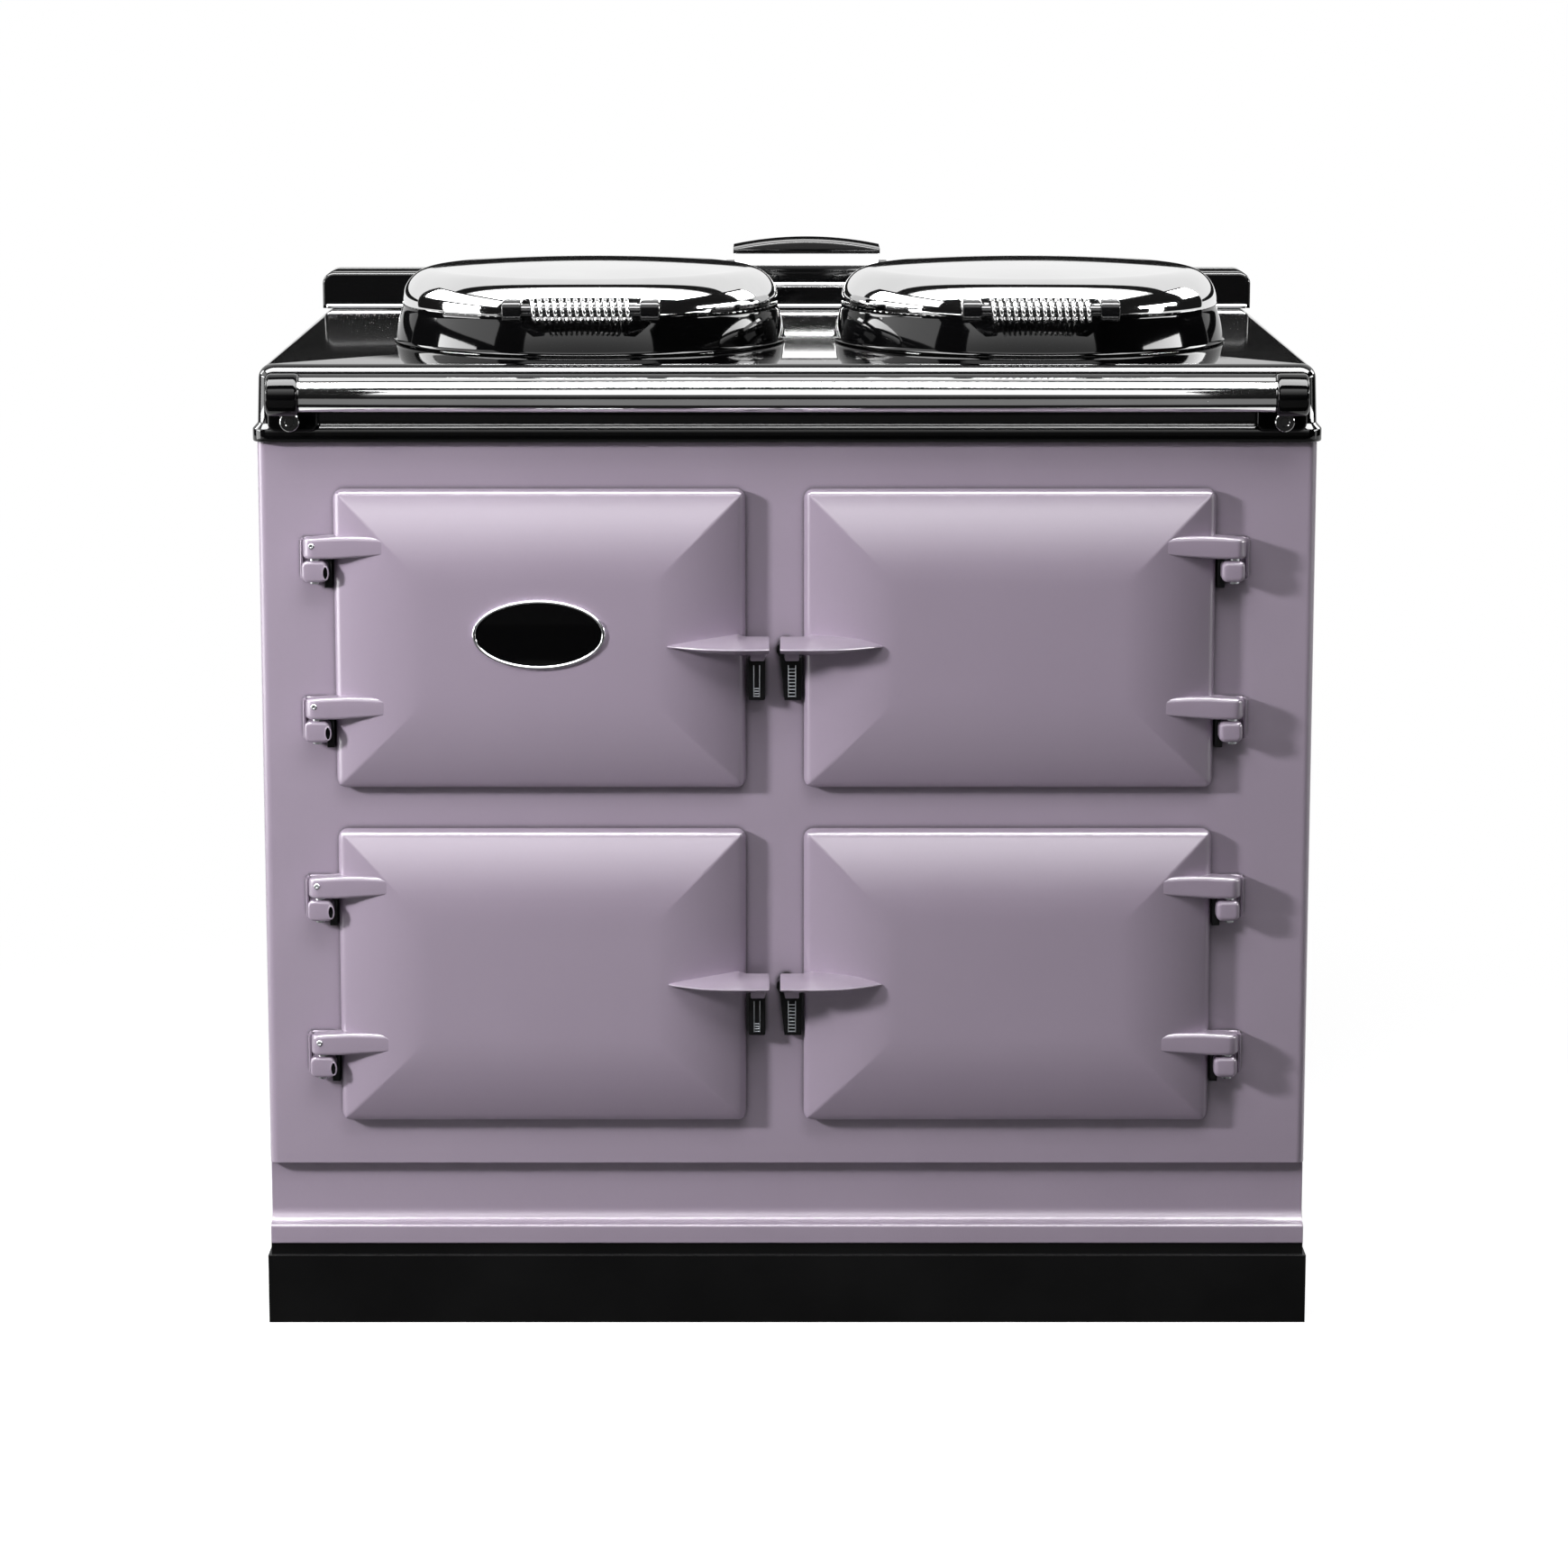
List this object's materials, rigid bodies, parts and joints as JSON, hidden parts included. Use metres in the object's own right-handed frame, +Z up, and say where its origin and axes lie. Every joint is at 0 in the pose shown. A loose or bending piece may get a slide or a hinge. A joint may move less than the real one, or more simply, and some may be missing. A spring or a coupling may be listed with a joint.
{
  "type": "cast iron range cooker",
  "caption": "Cast iron range cooker with heather enamel oven doors, a black hob with hinged chrome hotplate lids, a handrail and a rear upstand with a vent cowl.",
  "frame": {"origin": "on the floor, at the middle of the cooker's overall width and depth", "axes": "+X to the right as seen from the front, +Y from the front to the back, +Z up"},
  "size_m": [0.988, 0.7555, 0.991],
  "materials": {
    "heather_enamel": "vitreous enamel, satin gloss, heather grey",
    "door_enamel": "vitreous enamel, gloss, heather grey",
    "black_enamel": "vitreous enamel, high gloss black",
    "skirt_enamel": "vitreous enamel, high gloss black",
    "catch_black": "black enamelled steel",
    "handle_black": "black enamelled casting",
    "polished_chrome": "polished",
    "lid_chrome": "polished",
    "coil_chrome": "polished wire",
    "badge_metal": "polished rim, black enamel field",
    "bright_steel": "bright zinc",
    "galvanised_steel": "galvanised sheet",
    "door_liner_steel": "brushed",
    "lid_liner_aluminium": "polished",
    "bare_iron": "machined and oiled casting",
    "element_sheath": "heat-tinted sheath",
    "mineral_wool": "matt fibre",
    "seal_rope": "woven fibre rope",
    "panel_enamel": "satin black",
    "knob_plastic": "satin black",
    "gland_plastic": "moulded black"
  },
  "bodies": {
    "body": {"plinth": "black_enamel", "base_deck": "bare_iron", "base_panel": "heather_enamel", "front_plate": "heather_enamel", "side_panels": "heather_enamel", "back_panel": "galvanised_steel", "insulation": "mineral_wool", "top_plate": "black_enamel", "rear_upstand": "black_enamel", "upstand_bead": "polished_chrome", "vent_cowl": "black_enamel", "vent_outlet": "polished_chrome", "vent_cap": "black_enamel", "hotplates": "bare_iron", "hotplate_rings": "polished_chrome", "lid_hinge_lugs": "black_enamel", "handrail": "polished_chrome", "rail_brackets": "black_enamel", "rail_bolts": "bright_steel", "roasting_oven": "bare_iron", "simmering_oven": "bare_iron", "baking_oven": "bare_iron", "oven_shelves": "bright_steel", "oven_elements": "element_sheath", "control_box": "galvanised_steel", "control_panel": "panel_enamel", "door_seals": "seal_rope", "hinge_lugs": "heather_enamel", "hinge_pins": "bright_steel", "door_catches": "catch_black", "cable_gland": "gland_plastic"},
    "door_upper_left": {"door_casing_upper_left": "door_enamel", "door_liner_upper_left": "door_liner_steel", "door_handle_upper_left": "door_enamel", "badge": "badge_metal"},
    "door_upper_right": {"door_casing_upper_right": "door_enamel", "door_liner_upper_right": "door_liner_steel", "door_handle_upper_right": "door_enamel"},
    "door_lower_left": {"door_casing_lower_left": "door_enamel", "door_liner_lower_left": "door_liner_steel", "door_handle_lower_left": "door_enamel"},
    "door_lower_right": {"door_casing_lower_right": "door_enamel", "door_liner_lower_right": "door_liner_steel", "door_handle_lower_right": "door_enamel"},
    "lid_left": {"lid_dome_left": "lid_chrome", "lid_skirt_left": "skirt_enamel", "lid_liner_left": "lid_liner_aluminium", "lid_handle_left": "handle_black", "lid_coil_left": "coil_chrome"},
    "lid_right": {"lid_dome_right": "lid_chrome", "lid_skirt_right": "skirt_enamel", "lid_liner_right": "lid_liner_aluminium", "lid_handle_right": "handle_black", "lid_coil_right": "coil_chrome"},
    "knob_left": {"knob_left": "knob_plastic"},
    "knob_middle": {"knob_middle": "knob_plastic"},
    "knob_right": {"knob_right": "knob_plastic"}
  },
  "joints": [
    {"name": "door_hinge_upper_left", "type": "hinge", "parent": "body", "child": "door_upper_left", "pos_m": [-0.436, -0.33025, 0.66], "axis": [0, 0, -1], "range_deg": [0, 120]},
    {"name": "door_hinge_upper_right", "type": "hinge", "parent": "body", "child": "door_upper_right", "pos_m": [0.413, -0.33025, 0.66], "axis": [0, 0, 1], "range_deg": [0, 120]},
    {"name": "door_hinge_lower_left", "type": "hinge", "parent": "body", "child": "door_lower_left", "pos_m": [-0.436, -0.33025, 0.3405], "axis": [0, 0, -1], "range_deg": [0, 120]},
    {"name": "door_hinge_lower_right", "type": "hinge", "parent": "body", "child": "door_lower_right", "pos_m": [0.413, -0.33025, 0.3405], "axis": [0, 0, 1], "range_deg": [0, 120]},
    {"name": "lid_hinge_left", "type": "hinge", "parent": "body", "child": "lid_left", "pos_m": [-0.1915, 0.16425, 0.944], "axis": [-1, 0, 0], "range_deg": [0, 95]},
    {"name": "lid_hinge_right", "type": "hinge", "parent": "body", "child": "lid_right", "pos_m": [0.2355, 0.16425, 0.944], "axis": [-1, 0, 0], "range_deg": [0, 95]},
    {"name": "knob_turn_left", "type": "hinge", "parent": "body", "child": "knob_left", "pos_m": [-0.321, -0.24825, 0.66], "axis": [0, -1, 0], "range_deg": [-270, 0]},
    {"name": "knob_turn_middle", "type": "hinge", "parent": "body", "child": "knob_middle", "pos_m": [-0.229, -0.24825, 0.66], "axis": [0, -1, 0], "range_deg": [-270, 0]},
    {"name": "knob_turn_right", "type": "hinge", "parent": "body", "child": "knob_right", "pos_m": [-0.137, -0.24825, 0.66], "axis": [0, -1, 0], "range_deg": [-270, 0]}
  ]
}
